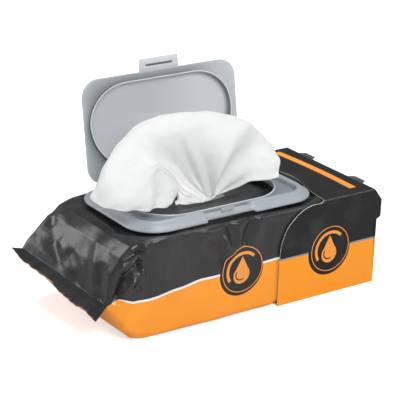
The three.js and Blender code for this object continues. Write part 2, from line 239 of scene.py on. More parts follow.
def card_finish():
    """Printed card: orange below a pale line and charcoal above, with an orange strip on top and rubbed folds."""
    f = Finish("printed_card", IOR=1.45, Specular_IOR_Level=0.3)
    where = f.place()
    x, y, z = f.axes(where)
    colour = f.mix(z.over(CARD_LINE_LOW), ORANGE, tone("8A8C90"))
    colour = f.mix(z.over(CARD_LINE_HIGH), colour, CARD_CHARCOAL)
    off_middle = y + 10.0
    bend = x - off_middle * off_middle * -CARD_STRIP_BOW
    strip = z.over(SLEEVE_TOP - 0.9) * bend.between(*CARD_STRIP_X) * y.between(*CARD_STRIP_Y)
    colour = f.mix(strip, colour, tone("FB9A3C"))
    disc, ring, motif = badge(x, z, CARD_BADGE, CARD_BADGE_RADIUS)
    front = y.under(-50.0, 0.5)
    colour = f.mix(disc * front, colour, BADGE_DARK)
    colour = f.mix(ring.step("MAXIMUM", motif) * front, colour, tone("F59A3E"))
    fibre = f.grain(f.stretch(where, (0.35, 1.0, 1.0)), 0.9, 4.0)
    side_fold = (y.step("ABSOLUTE") + z).over(SLEEVE_TOP + SLEEVE_HALF - 0.7, 0.4)
    end_fold = x.over(SLEEVE_SHOULDER - 0.8, 0.4) * z.over(SLEEVE_TOP - 0.5, 0.3)
    scuff = (side_fold + end_fold) * f.grain(where, 0.6, 5.0).over(0.44, 0.3)
    colour = f.mix(scuff * 0.4, colour, tone("8D8B89"))
    cloudy = f.grain(where, 0.05, 3.0)
    f.feed("Base Color", f.mix((cloudy - 0.5) * 0.2, colour, tone("9A9A9A")))
    f.feed("Roughness", fibre * 0.2 + 0.42)
    f.bump(fibre, 0.06, 0.6)
    return f.material


def bare_card_finish():
    """The card's unprinted inside and its cut edges."""
    f = Finish("bare_card", Roughness=0.85)
    fibre = f.grain(f.stretch(f.place(), (0.4, 1.6, 1.6)), 1.1, 5.0)
    f.feed("Base Color", f.mix(fibre, tone("D9D6D0"), tone("F2F0EC")))
    f.bump(fibre, 0.08, 0.7)
    return f.material


def plastic_finish(name, colour, shade):
    """Moulded plastic with a soft sheen and a faint flow of the mould.

    The pieces' own values give painted shade in recesses and on shaded sides, and painted highlights on crests and
    lit sides.
    """
    f = Finish(name, IOR=1.49, Coat_Weight=0.12, Coat_Roughness=0.25)
    where = f.place()
    flow = f.grain(f.stretch(where, (0.02, 0.05, 0.05)), 1.0, 3.0)
    moulded = f.mix(flow, tone(colour), tone(shade))
    # Painted highlight on crests and lit sides, then painted shade in recesses and on shaded sides.
    moulded = f.mix(f.value("painted_highlight"), moulded, tone("E9EDEF"))
    f.feed("Base Color", f.mix(f.value("painted_shade"), moulded, tone("5F666B")))
    f.feed("Roughness", flow * 0.16 + 0.26)
    f.bump(f.grain(where, 2.2, 2.0), 0.03, 0.5)
    return f.material


def nonwoven_finish():
    """Moist white nonwoven of tangled, tufted fibres. A small glow stands for the light that it lets through."""
    f = Finish("nonwoven", Specular_IOR_Level=0.25, Emission_Strength=0.36)
    where = f.place()
    fibres = f.grain(f.stretch(where, (1.4, 1.4, 0.35)), 1.3, 5.0, 0.65)
    tufts = f.grain(where, 0.35, 4.0, 0.6)
    damp = f.grain(where, 0.035, 3.0)
    colour = f.mix(tufts, tone("BFC0C0"), tone("C9C9C8"))
    f.feed("Base Color", f.mix((damp - 0.45) * 0.5, colour, tone("BABBBC")))
    f.feed("Emission Color", f.mix(f.value("lit"), (0.61, 0.61, 0.61, 1), (1, 1, 1, 1)))
    f.feed("Roughness", damp * 0.3 + 0.58)
    first = f.bump(fibres, 0.16, 0.55)
    f.bump(tufts, 0.5, 0.4, first)
    return f.material


FILM = film_finish()
CARD, BARE_CARD = card_finish(), bare_card_finish()
# Lid and base are the same plastic; the base's tones are set darker as painted shade.
LID_PLASTIC = plastic_finish("lid_plastic", "B9BEC1", "B0B6BA")
BASE_PLASTIC = plastic_finish("base_plastic", "A1A8AC", "989FA4")
NONWOVEN = nonwoven_finish()


# ---- Helpers for shapes ----

RING_STEPS = 320
OUTLINE_HALVINGS = 36


def smooth(low, high, value):
    t = min(1.0, max(0.0, (value - low) / (high - low)))
    return t * t * (3 - 2 * t)


def finish_mesh(bm, name, body, materials, replaces, flat=False):
    """Turns a bmesh in millimetres into a piece of the object, in metres."""
    bmesh.ops.scale(bm, vec=(MM, MM, MM), verts=bm.verts)
    mesh = bpy.data.meshes.new(name)
    bm.to_mesh(mesh)
    bm.free()
    for material in materials:
        mesh.materials.append(material)
    for polygon in mesh.polygons:
        polygon.use_smooth = not flat
    piece = bpy.data.objects.new(name, mesh)
    bpy.context.collection.objects.link(piece)
    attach(piece, body)
    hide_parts(*replaces)
    return piece


def sharpen(piece, degrees):
    """Edges sharper than this shade as edges. The rest shade smooth."""
    bm = bmesh.new()
    bm.from_mesh(piece.data)
    limit = math.radians(degrees)
    for edge in bm.edges:
        edge.smooth = len(edge.link_faces) != 2 or edge.calc_face_angle(0.0) < limit
    bm.to_mesh(piece.data)
    bm.free()


def rounded_outline(half_x, half_y, radius, middle_y):
    """Points round a rounded rectangle, spread by angle so that the points of all rings pair up."""
    radius = max(0.4, min(radius, half_x, half_y))
    points = []
    for i in range(RING_STEPS):
        t = 2 * math.pi * i / RING_STEPS
        dx, dy = half_x * math.cos(t), half_y * math.sin(t)
        length = math.hypot(dx, dy)
        dx, dy = dx / length, dy / length
        near, far = 0.0, half_x + half_y
        for _ in range(OUTLINE_HALVINGS):
            at = (near + far) / 2
            qx, qy = abs(dx * at) - half_x + radius, abs(dy * at) - half_y + radius
            away = math.hypot(max(qx, 0), max(qy, 0)) + min(max(qx, qy), 0) - radius
            near, far = (at, far) if away < 0 else (near, at)
        points.append((dx * near, middle_y + dy * near))
    return points


def sweep_rings(bm, rings, closed=False, caps=False):
    """Draws a circle in an empty bmesh onto the first ring and extrudes it from ring to ring."""
    row = list(bmesh.ops.create_circle(bm, cap_ends=False, segments=RING_STEPS, radius=1.0)["verts"])
    for vert, point in zip(row, rings[0]):
        vert.co = point
    first_edges = edges = bm.edges[:]
    order = {v: i for i, v in enumerate(row)}
    for ring in rings[1:]:
        got = bmesh.ops.extrude_edge_only(bm, edges=edges)["geom"]
        fresh = [g for g in got if isinstance(g, bmesh.types.BMVert)]
        fresh_set = set(fresh)
        edges = [g for g in got if isinstance(g, bmesh.types.BMEdge) and fresh_set.issuperset(g.verts)]
        following = {}
        for vert in fresh:
            for edge in vert.link_edges:
                other = edge.other_vert(vert)
                if other in order:
                    following[vert] = order[other]
        for vert, i in following.items():
            vert.co = ring[i]
        order = following
    if closed:
        bmesh.ops.bridge_loops(bm, edges=first_edges + edges)
    if caps:
        bmesh.ops.holes_fill(bm, edges=[e for e in bm.edges if e.is_boundary], sides=0)
    bmesh.ops.recalc_face_normals(bm, faces=bm.faces)


def past_base(x, y):
    """How far a place lies outside the base's outline."""
    dx, dy = abs(x) - BASE_HALF_X + BASE_CORNER, abs(y - BASE_MID_Y) - BASE_HALF_Y + BASE_CORNER
    return math.hypot(max(dx, 0), max(dy, 0)) + min(max(dx, dy), 0) - BASE_CORNER


# ---- Film pack ----

# share along the pack, x, skew, half depth, bottom, top, tilt, corner radius
FILM_STATIONS = [
    (0.00, -125.3, -6.4, 49.0, 32.7, 33.7, 11.0, 0.4),
    (0.07, -120.4, -7.6, 47.2, 34.7, 35.9, 9.0, 0.5),
    (0.13, -116.4, -8.4, 45.6, 36.3, 37.9, 7.2, 0.7),
    (0.16, -113.6, -7.6, 46.8, 30.5, 44.5, 6.0, 3.0),
    (0.21, -107.0, -5.0, 49.8, 20.5, 55.5, 3.6, 6.0),
    (0.27, -98.5, -2.2, 51.9, 9.5, 65.8, 1.6, 8.0),
    (0.33, -90.0, -0.6, 52.8, 2.2, 71.8, 0.4, 7.0),
    (0.39, -80.0, 0.0, 53.0, 0.0, 75.2, 0.0, 5.5),
    (0.46, -64.0, 0.0, 53.0, 0.0, 76.4, 0.0, 4.5),
    (0.87, 31.5, 0.0, 53.0, 0.0, 76.5, 0.0, 4.5),
    (0.89, 36.6, 0.0, 53.0, 0.9, 76.5, 0.0, 4.5),
    (0.97, 118.0, 0.0, 53.0, 0.9, 76.5, 0.0, 5.0),
    (1.00, 124.0, 0.0, 49.5, 5.0, 72.0, 0.0, 6.0),
]
# start, end, half width, how far the film stands out (in where negative)
FILM_CREASES = [
    ((-3, -53, 77), (0, -53, 60), 4.4, 2.3),
    ((12, -53, 74), (6, -53, 58), 4.6, -3.2),
    ((21, -53, 75), (17, -53, 63), 5.5, 1.2),
    ((-9, -53, 73), (-6, -53, 61), 4.2, -1.8),
    ((-30, -53, 73), (-13, -53, 63), 6.5, 2.6),
    ((-13, -53, 63), (-8, -53, 53), 5.0, 2.2),
    ((-25, -53, 62), (-15, -53, 50), 6.0, -2.4),
    ((-50, -53, 68), (-40, -53, 50), 9.0, -0.8),
    ((-62, -53, 66), (-66, -53, 42), 9.0, 0.9),
    ((22, -53, 68), (27, -53, 48), 6.0, -0.8),
    ((-87, -53, 71), (-104, -51, 61), 4.4, -5.5),
    ((-104, -51, 61), (-103, -50, 38), 5.0, -7.0),
    ((-88, -53, 66), (-102, -52, 57), 3.2, 3.2),
    ((-87, -53, 60), (-103, -51, 46), 3.6, -4.8),
    ((-86, -53, 52), (-96, -52, 43), 3.4, 2.8),
    ((-86, -53, 69), (-87, -53, 44), 3.0, -2.2),
    ((-83, -53, 71), (-84, -53, 40), 3.0, 1.5),
    ((-79, -53, 66), (-78, -53, 40), 4.5, -1.2),
    ((-92, -52, 27), (-100, -50, 14), 5.0, -1.2),
    ((-104, 36, 61), (-117, 10, 45), 7.5, -1.8),
    ((-111, 4, 52), (-116, -12, 41), 5.0, -1.6),
    ((-108, 18, 55), (-114, -4, 46), 4.5, 1.3),
    ((-106, -32, 52), (-110, -38, 38), 5.0, -1.8),
    ((-98, -16, 65), (-110, -30, 44), 8.0, 1.5),
    ((-96, 47, 68), (-102, 40, 62), 4.0, -2.0),
    ((-82, -20, 76), (-102, -8, 62), 9.0, -1.0),
    ((-84, 30, 76), (-108, 34, 54), 7.0, 1.0),
]
# x and height of marks on the printed line, with a soft curve between them
COLOUR_LINE = [(-98, 33.6), (-90, 31.0), (-78, 30.3), (-53, 33.4), (-31, 35.4), (-16, 35.5), (20, 37.2),
               (37, 37.7), (130, 37.7)]
FILM_CUTS = (214, 62, 54)
SEAM_SHARE, SEAM_WIDTH, WAVY_SHARE = 0.13, 11.0, 0.14
IN_SLEEVE_X, NEAR_BASE_X = 38, 84
CREASE_REACH, CREASE_GAIN = 1.5, 1.15
SINK, SINK_BY_SLEEVE = 2.4, 2.6
LIP_REACH, LIP_RISE = 1.9, 1.1


def station_at(share):
    for low, high in zip(FILM_STATIONS, FILM_STATIONS[1:]):
        if share <= high[0]:
            t = (share - low[0]) / (high[0] - low[0])
            return [a + (b - a) * t for a, b in zip(low, high)]
    return list(FILM_STATIONS[-1])


def colour_line_height(x):
    """Height of the printed line along the pack's side."""
    if x <= COLOUR_LINE[0][0]:
        return COLOUR_LINE[0][1]
    for (x0, z0), (x1, z1) in zip(COLOUR_LINE, COLOUR_LINE[1:]):
        if x <= x1:
            return z0 + (z1 - z0) * smooth(x0, x1, x)
    return COLOUR_LINE[-1][1]


def near_segment(point, start, end):
    along = end - start
    t = max(0.0, min(1.0, (point - start).dot(along) / along.length_squared))
    return (point - start - along * t).length


def lay_out_film(bm, rise, seam, line):
    """Turns a finely cut cube into the filled pack, and notes where its print and its seam lie."""
    for vert in bm.verts:
        a, b, c = vert.co
        share = (a + 1) / 2
        _, x, skew, half, bottom, top, tilt, radius = station_at(share)
        height = (top - bottom) / 2
        radius = min(radius, height * 0.98)
        py, pz = b * half, c * height
        qy, qz = abs(py) - (half - radius), abs(pz) - (height - radius)
        if qy > 0 and qz > 0:
            shrink = max(qy, qz) / math.hypot(qy, qz)
            py = math.copysign(half - radius + qy * shrink, py)
            pz = math.copysign(height - radius + qz * shrink, pz)
        part = py / half
        middle = (top + bottom) / 2 + tilt * part
        point = Vector((x + skew * part, py, middle + pz))
        # On the slope the print's edge runs out to the seam.
        level = colour_line_height(point.x)
        level += (middle - level) * smooth(-94, -106, point.x)
        vert[rise] = point.z - level
        vert[line] = 1.7 * (1 - smooth(-92, -104, point.x))
        vert[seam] = (SEAM_SHARE - share) / SEAM_SHARE * SEAM_WIDTH
        if share < WAVY_SHARE:
            wavy = (WAVY_SHARE - share) / WAVY_SHARE
            point.z += (1.1 * math.sin(6.4 * part + 0.6) + 0.5 * math.sin(15 * part)) * wavy
            point.x += 1.6 * noise.noise(Vector((part * 9, 0, 3))) * wavy
        vert.co = point


def crease_film(bm):
    """Pushes the film in and out along its creases, and softly all over, but not in the sleeve or below."""
    bm.normal_update()
    creases = [(Vector(start), Vector(end), width, depth) for start, end, width, depth in FILM_CREASES]
    moved = {}
    for vert in bm.verts:
        point = vert.co
        if point.x > IN_SLEEVE_X or vert.normal.z < -0.6:
            continue
        push = 0.0
        for start, end, width, depth in creases:
            away = near_segment(point, start, end) / (width * CREASE_REACH)
            if away < 1:
                push += depth * CREASE_GAIN * (1 - away) * (1 - 0.35 * away)
        # Creases fade out at the seam and on the flat top, and the soft unevenness also towards the sleeve.
        push *= smooth(-121, -114, point.x) * (1 - 0.8 * smooth(73.5, 76.3, point.z))
        on_top = vert.normal.z > 0.6 and point.z > 74
        calm = 0.15 if on_top and abs(point.x) < NEAR_BASE_X else 1.0
        calm *= 1 - smooth(24, 37, point.x)
        calm *= smooth(-119, -112, point.x)
        soft = noise.noise(point * 0.03) * 1.5 + noise.noise(point * 0.075 + Vector((5, 1, 2))) * 0.5
        moved[vert] = vert.normal * (push + soft * calm)
    for vert, shift in moved.items():
        vert.co = vert.co + shift
        if vert.co.z > FILM_TOP + 0.15 and abs(vert.co.x) < NEAR_BASE_X:
            vert.co.z = FILM_TOP + 0.15


def sink_film(bm):
    """Under and round the base the film lies lower, most of all near the sleeve, but not inside the oval."""
    for vert in bm.verts:
        x, y, z = vert.co
        if z > 70 and x < NEAR_BASE_X:
            inside = ((x / OVAL_HALF_X) ** 2 + ((y - OVAL_Y) / OVAL_HALF_Y) ** 2) ** 0.5
            deep = SINK + SINK_BY_SLEEVE * smooth(25, 60, x)
            vert.co.z -= deep * (1 - smooth(-0.6, 4.6, past_base(x, y))) * smooth(0.8, 1.06, inside)


def mouth_share(point):
    """1 on the mouth's edge, and less inside it."""
    return math.hypot((point.x - MOUTH_X) / MOUTH_HALF_X, (point.y - MOUTH_Y) / MOUTH_HALF_Y)


def tear_mouth(bm):
    """The film is torn open round the neck of the wipe, and its lip turns up a little."""
    gone = []
    for face in bm.faces:
        middle = face.calc_center_median()
        if face.normal.z > 0.5 and mouth_share(middle) < 0.95 and middle.z > 70:
            gone.append(face)
    bmesh.ops.delete(bm, geom=gone, context="FACES")
    for vert in bm.verts:
        if vert.is_boundary:
            reach = mouth_share(vert.co)
            vert.co.x = MOUTH_X + (vert.co.x - MOUTH_X) / reach
            vert.co.y = MOUTH_Y + (vert.co.y - MOUTH_Y) / reach
        reach = mouth_share(vert.co)
        if vert.co.z > 74 and reach < LIP_REACH:
            vert.co.z += LIP_RISE * smooth(LIP_REACH, 1.0, reach)


def film_piece():
    bm = bmesh.new()
    rise, seam, line = [bm.verts.layers.float.new(name) for name in ("rise", "seam", "line")]
    bmesh.ops.create_cube(bm, size=2.0)
    for axis, cuts in enumerate(FILM_CUTS):
        edges = [e for e in bm.edges if abs(e.verts[0].co[axis] - e.verts[1].co[axis]) > 1e-4]
        bmesh.ops.subdivide_edges(bm, edges=edges, cuts=cuts, use_grid_fill=True)
    lay_out_film(bm, rise, seam, line)
    crease_film(bm)
    sink_film(bm)
    tear_mouth(bm)
    finish_mesh(bm, "film_pack", "pack", [FILM], ["film_wrapper"])


film_piece()


# ---- Flip-top base ----

NOTCH_LEFT, NOTCH_RIGHT, NOTCH_FRONT, NOTCH_BACK = -23.0, 18.0, -44.4, -34.6
NOTCH_LOW, NOTCH_FLOOR = 77.6, 79.2
SHELF_Z = 79.6
LATCH_SIZE, LATCH_Z = (11.0, 1.2, 3.4), 80.9


def base_ring(inset, z):
    points = rounded_outline(BASE_HALF_X - inset, BASE_HALF_Y - inset, BASE_CORNER - inset, BASE_MID_Y)
    return [Vector((x, y, z)) for x, y in points]


def oval_ring(out, z):
    points = rounded_outline(OVAL_HALF_X + out, OVAL_HALF_Y + out, OVAL_HALF_Y + out, OVAL_Y)
    return [Vector((x, y, z)) for x, y in points]


def base_piece():
    # Rings from the opening over the oval rim, the channel and the round bead to the outer edge.
    profile = [
        oval_ring(0.0, 76.9), oval_ring(0.0, 80.8), oval_ring(0.2, 81.1), oval_ring(0.9, 81.15),
        oval_ring(1.2, 80.8), oval_ring(1.35, 78.9), oval_ring(1.8, 78.1),
        base_ring(11.6, 77.9), base_ring(10.9, 78.3), base_ring(10.55, 79.6), base_ring(10.3, 81.4),
        base_ring(9.8, 82.15), base_ring(8.9, 82.5), base_ring(7.2, 82.45), base_ring(6.2, 82.0),
        base_ring(5.4, 81.1), base_ring(2.9, 79.7), base_ring(1.0, 78.6), base_ring(0.3, 78.2),
        base_ring(0.0, 77.7), base_ring(0.0, 76.9),
    ]
    bm = bmesh.new()
    painted_shade, painted_highlight = bm.verts.layers.float.new("painted_shade"), bm.verts.layers.float.new("painted_highlight")
    sweep_rings(bm, profile, closed=True)
    for vert in bm.verts:
        x, y, z = vert.co
        inset = -past_base(x, y)
        # Painted shade darkens the channel inside the bead, and a painted highlight lightens the oval rim's crest.
        vert[painted_shade] = 0.5 * smooth(10.0, 10.8, inset) * smooth(80.6, 79.2, z) if z < 80.6 else 0.0
        vert[painted_highlight] = 0.6 if inset > 11 and z > 81.0 else 0.0
        # The front is cut down for the lid's tab, and the back for the hinge.
        if y < NOTCH_BACK:
            gap = smooth(NOTCH_LEFT - 0.5, NOTCH_LEFT + 0.5, x)
            gap *= 1 - smooth(NOTCH_RIGHT - 0.5, NOTCH_RIGHT + 0.5, x)
            floor = NOTCH_FLOOR + 0.5 * smooth(-44, -38, y)
            vert.co.z = z + (max(min(z, floor), NOTCH_LOW) - z) * gap
            vert.co.y = y + (max(y, NOTCH_FRONT) - y) * gap
        if y > 30 and z > SHELF_Z:
            shelf = 1 - smooth(LID_HALF_X - 0.4, LID_HALF_X + 0.9, abs(x))
            vert.co.z = z + (SHELF_Z - z) * shelf
    latch = bmesh.ops.create_cube(bm, size=1.0)["verts"]
    bmesh.ops.scale(bm, vec=LATCH_SIZE, verts=latch)
    bmesh.ops.translate(bm, vec=(LATCH_X, LATCH_Y, LATCH_Z), verts=latch)
    edges = list({e for v in latch for e in v.link_edges})
    bmesh.ops.bevel(bm, geom=edges, offset=0.5, segments=3, profile=0.5, affect="EDGES", material=-1)
    piece = finish_mesh(bm, "flip_top_base", "pack", [BASE_PLASTIC], ["lid_base"])
    sharpen(piece, 50)


base_piece()


# ---- Lid, drawn shut about its hinge line and then turned open ----

LID_OPEN = 100.0
LID_REACH, LID_BACK, LID_CORNER = 79.8, 1.0, 14.0
TAB_HALF, TAB_LENGTH, TAB_THICK, TAB_TAPER = 17.5, 9.5, 1.0, 0.5
SLOT_Y, SLOT_HALF_X, SLOT_HALF_Y = LATCH_Y - HINGE_Y, 12.0, 0.8
SKIN_SIZE, SKIN_Z = (25.0, 3.4, 0.45), 0.85
STRIP_LENGTH, STRIP_RADIUS = 104.0, 0.6
# The rib's front half is drawn in by this factor, and its crest there stays above the base's oval rim.
RIB_FRONT, RIB_FRONT_LOW = 0.88, -0.9
# How much painted shade darkens the rings of the rib's inner wall and of the frame round the rib, from the dish
# outwards.
WALL_SHADES = [0.2, 0.8, 0.9, 0.8, 0.5]
FRAME_SHADES = [0.3, 0.9, 0.86, 0.7, 0.5, 0.34, 0.2, 0.1]


def edge_ring(inset, z):
    """A ring inside the lid's outline."""
    half_y = (LID_REACH - LID_BACK) / 2
    points = rounded_outline(LID_HALF_X - inset, half_y - inset, LID_CORNER - inset, -(LID_BACK + LID_REACH) / 2)
    return [Vector((x, y, z)) for x, y in points]


def rib_ring(out, z):
    """A ring outside the line of the base's opening, drawn in at the front."""
    centre = OVAL_Y - HINGE_Y
    ring = []
    for x, y in rounded_outline(OVAL_HALF_X + out, OVAL_HALF_Y + out, OVAL_HALF_Y + out, centre):
        front = smooth(-18, 7, centre - y)
        drawn = centre + (y - centre) * RIB_FRONT if y < centre else y
        ring.append(Vector((x, drawn, z + (max(z, RIB_FRONT_LOW) - z) * front)))
    return ring


def frame_ring(share, z):
    """A ring between the lid's edge, at share 0, and the foot of the rib, at share 1."""
    return [Vector((*edge.lerp(foot, share).xy, z)) for edge, foot in zip(edge_ring(0.0, 0), rib_ring(2.7, 0))]


def lid_plate(bm, painted_shade, painted_highlight):
    """The lid's plate with its dish, its oval rib and the frame round it."""
    dish = [rib_ring(-27, 2.1), rib_ring(-20, 2.1), rib_ring(-12, 2.05), rib_ring(-6, 1.95), rib_ring(-3, 1.8)]
    wall = [rib_ring(-1.2, 1.45), rib_ring(0.2, 0.7), rib_ring(1.0, -0.4), rib_ring(1.45, -1.6), rib_ring(1.7, -2.6)]
    crest = [rib_ring(1.9, -2.9), rib_ring(2.3, -2.9)]
    frame_rings = [
        rib_ring(2.5, -2.6), rib_ring(2.6, -0.9), rib_ring(2.7, 0.3), frame_ring(0.86, 0.55),
        frame_ring(0.65, 0.35), frame_ring(0.42, -0.1), frame_ring(0.22, -0.5), frame_ring(0.1, -0.75),
    ]
    outside = [
        frame_ring(0.03, -0.8), edge_ring(0.0, -0.55), edge_ring(0.0, 0.3), edge_ring(0.3, 0.8),
        edge_ring(1.0, 1.2), edge_ring(2.5, 1.7), edge_ring(5.0, 2.4), edge_ring(9.0, 2.9),
        edge_ring(12.0, 3.0), rib_ring(-12, 3.05), rib_ring(-27, 3.1),
    ]
    sweep_rings(bm, dish + wall + crest + frame_rings + outside, caps=True)
    wall_from = len(dish)
    crest_from = wall_from + len(wall)
    frame_from = crest_from + len(crest)
    outside_from = frame_from + len(frame_rings)
    for i, vert in enumerate(bm.verts):
        ring, x = i // RING_STEPS, vert.co.x
        # Painted light: a painted highlight on the dish's right side and on the crest, painted shade on the rib's
        # inner wall at the right, and on the frame painted shade mostly on the left with a painted highlight on the
        # right.
        if ring < wall_from:
            vert[painted_highlight] = 0.34 * smooth(-15, 45, x)
        elif ring < crest_from:
            vert[painted_shade] = WALL_SHADES[ring - wall_from] * smooth(25, 60, x)
        elif ring < frame_from:
            vert[painted_highlight] = 0.8
        elif ring < outside_from:
            right = smooth(15, 60, x)
            vert[painted_shade] = FRAME_SHADES[ring - frame_from] * (1 - 0.75 * right)
            vert[painted_highlight] = 0.3 * right if ring > frame_from + 1 else 0.0


def lid_tab(bm, painted_shade, painted_highlight):
    """The tab that is lifted, with the latch's slot cut through it and closed by a thin skin on the outside."""
    across = [-TAB_HALF, -SLOT_HALF_X, SLOT_HALF_X, TAB_HALF]
    along = [-LID_REACH - TAB_LENGTH, SLOT_Y - SLOT_HALF_Y, SLOT_Y + SLOT_HALF_Y, -LID_REACH + 0.6]
    tab = bmesh.ops.create_grid(bm, x_segments=3, y_segments=3, size=1.0)["verts"]
    grid = sorted(tab, key=lambda v: (round(v.co.y, 3), round(v.co.x, 3)))
    for i, vert in enumerate(grid):
        row, column = divmod(i, 4)
        taper = TAB_TAPER if row == 0 and column in (0, 3) else 0.0
        vert.co = Vector((across[column] - math.copysign(taper, across[column]), along[row], -TAB_THICK / 2))
    faces = list({f for v in tab for f in v.link_faces})
    hole = [f for f in faces if abs(f.calc_center_median().x) < 1 and abs(f.calc_center_median().y - SLOT_Y) < 1]
    bmesh.ops.delete(bm, geom=hole, context="FACES_ONLY")
    grown = bmesh.ops.extrude_face_region(bm, geom=[f for f in faces if f.is_valid])["geom"]
    raised = [g for g in grown if isinstance(g, bmesh.types.BMVert)]
    bmesh.ops.translate(bm, vec=(0, 0, TAB_THICK), verts=raised)
    around = set(grid) | set(raised)
    rims = [e for e in bm.edges if e.verts[0] in around and e.verts[1] in around
            and len(e.link_faces) == 2 and e.calc_face_angle(0.0) > 0.6]
    bmesh.ops.recalc_face_normals(bm, faces=list({f for v in around for f in v.link_faces}))
    bmesh.ops.bevel(bm, geom=rims, offset=0.25, segments=2, profile=0.5, affect="EDGES", material=-1)
    # The tab gets a painted highlight.
    for vert in bm.verts:
        if abs(vert.co.x) < TAB_HALF + 1 and vert.co.y < SLOT_Y + 1.6 and vert.co.z < 0.6:
            vert[painted_highlight] = 0.32
    skin = bmesh.ops.create_cube(bm, size=1.0)["verts"]
    bmesh.ops.scale(bm, vec=SKIN_SIZE, verts=skin)
    bmesh.ops.translate(bm, vec=(0, SLOT_Y, SKIN_Z), verts=skin)
    # The skin's lower side gets painted shade, seen through the slot.
    for vert in skin:
        vert[painted_shade] = 0.95 if vert.co.z < SKIN_Z else 0.0


def hinge_strip(bm):
    """The round strip on the hinge line and the thin web that joins it to the lid."""
    strip = bmesh.ops.create_cone(bm, cap_ends=True, segments=16, radius1=STRIP_RADIUS, radius2=STRIP_RADIUS,
                                  depth=STRIP_LENGTH)["verts"]
    bmesh.ops.rotate(bm, cent=(0, 0, 0), matrix=Matrix.Rotation(math.pi / 2, 3, "Y"), verts=strip)
    web = bmesh.ops.create_cube(bm, size=1.0)["verts"]
    bmesh.ops.scale(bm, vec=(STRIP_LENGTH, 1.6, 0.6), verts=web)
    bmesh.ops.translate(bm, vec=(0, -0.8, 0), verts=web)


def lid_piece():
    bm = bmesh.new()
    painted_shade, painted_highlight = bm.verts.layers.float.new("painted_shade"), bm.verts.layers.float.new("painted_highlight")
    lid_plate(bm, painted_shade, painted_highlight)
    lid_tab(bm, painted_shade, painted_highlight)
    hinge_strip(bm)
    turn = Matrix.Translation((0, HINGE_Y, HINGE_Z)) @ Matrix.Rotation(math.radians(-LID_OPEN), 4, "X")
    bmesh.ops.transform(bm, matrix=turn, verts=bm.verts)
    piece = finish_mesh(bm, "flip_top_lid", "lid", [LID_PLASTIC], ["flip_lid"])
    sharpen(piece, 42)


lid_piece()


# ---- Card sleeve: one folded card ----

CARD_THICK, END_NOTCH = 0.55, 5.0
# The curved cut of the sides, as x and height from the left end of the top edge.
SLEEVE_CUT = [(0, -41.4), (0.1, -37.5), (0.2, -33.5), (0.8, -29), (2, -24.5), (3.4, -20.8), (5, -17.5),
              (7.3, -14.3), (10, -11.4), (14, -7.8), (19, -4.6), (23, -3.0), (27.5, -1.9), (31.5, -1.5),
              (35, -1.9), (37.5, -1.4)]
# The curved cut of the top, as x and share of the half depth, from the front edge to the middle.
SLEEVE_BOW = [(76.0, 1.0), (77.4, 0.964), (78.2, 0.818), (79.1, 0.7), (80.4, 0.582), (82, 0.48), (83.8, 0.382),
              (85.4, 0.29), (86.6, 0.2), (87.5, 0.1), (87.8, 0.0)]
SIDE_TAB = [(133.4, 67.8), (133.4, 54.0), (129.7, 52.0)]
TOP_TAB = [(SLEEVE_SHOULDER, 40.0), (131.0, 37.0), (131.0, 25.0), (SLEEVE_SHOULDER, 22.0)]


def sleeve_piece():
    left, right, top, deep = SLEEVE_LEFT, SLEEVE_RIGHT, SLEEVE_TOP, SLEEVE_HALF
    shoulder, bow_start = SLEEVE_SHOULDER, SLEEVE_BOW[0][0]
    bm = bmesh.new()

    def panel(points):
        bm.faces.new([bm.verts.new(p) for p in points])

    side = [(left, 0)] + [(left + x, top + z) for x, z in SLEEVE_CUT] + [(bow_start, top), (shoulder, top)]
    side += SIDE_TAB + [(right, 0)]
    for y in (-deep, deep):
        panel([(x, y, z) for x, z in side])

    outline = [(x, -deep * share) for x, share in SLEEVE_BOW]
    outline += [(x, deep * share) for x, share in reversed(SLEEVE_BOW[:-1])]
    outline += [(shoulder, deep)] + TOP_TAB + [(x, -y) for x, y in reversed(TOP_TAB)] + [(shoulder, -deep)]
    panel([(x, y, top) for x, y in outline])
    panel([(left, -deep, 0), (right, -deep, 0), (right, deep, 0), (left, deep, 0)])

    # The end leans in towards the top, and has two notches above and one on each side.
    low = top - END_NOTCH
    half_end = [(deep, 0), (deep, 52), (deep - 3.4, 54), (deep - 3.4, 66), (deep, 74), (deep, top),
                (40, top), (37, low), (25, low), (22, top)]
    rim = half_end + [(-y, z) for y, z in reversed(half_end)]
    panel([(right - (right - shoulder) * z / top, y, z) for y, z in rim])

    bmesh.ops.remove_doubles(bm, verts=bm.verts, dist=0.05)
    bmesh.ops.triangulate(bm, faces=bm.faces, quad_method="BEAUTY", ngon_method="BEAUTY")
    bmesh.ops.recalc_face_normals(bm, faces=bm.faces)
    centre = Vector((85, 0, 38))
    for face in bm.faces:
        if (face.calc_center_median() - centre).dot(face.normal) < 0:
            face.normal_flip()
    piece = finish_mesh(bm, "sleeve_card", "pack", [CARD, BARE_CARD], ["card_sleeve"], flat=True)
    thick = piece.modifiers.new("card", "SOLIDIFY")
    thick.thickness, thick.offset, thick.use_even_offset = CARD_THICK * MM, -1.0, True
    thick.material_offset, thick.material_offset_rim = 1, 1


sleeve_piece()


# ---- The wipe that is pulled half out ----

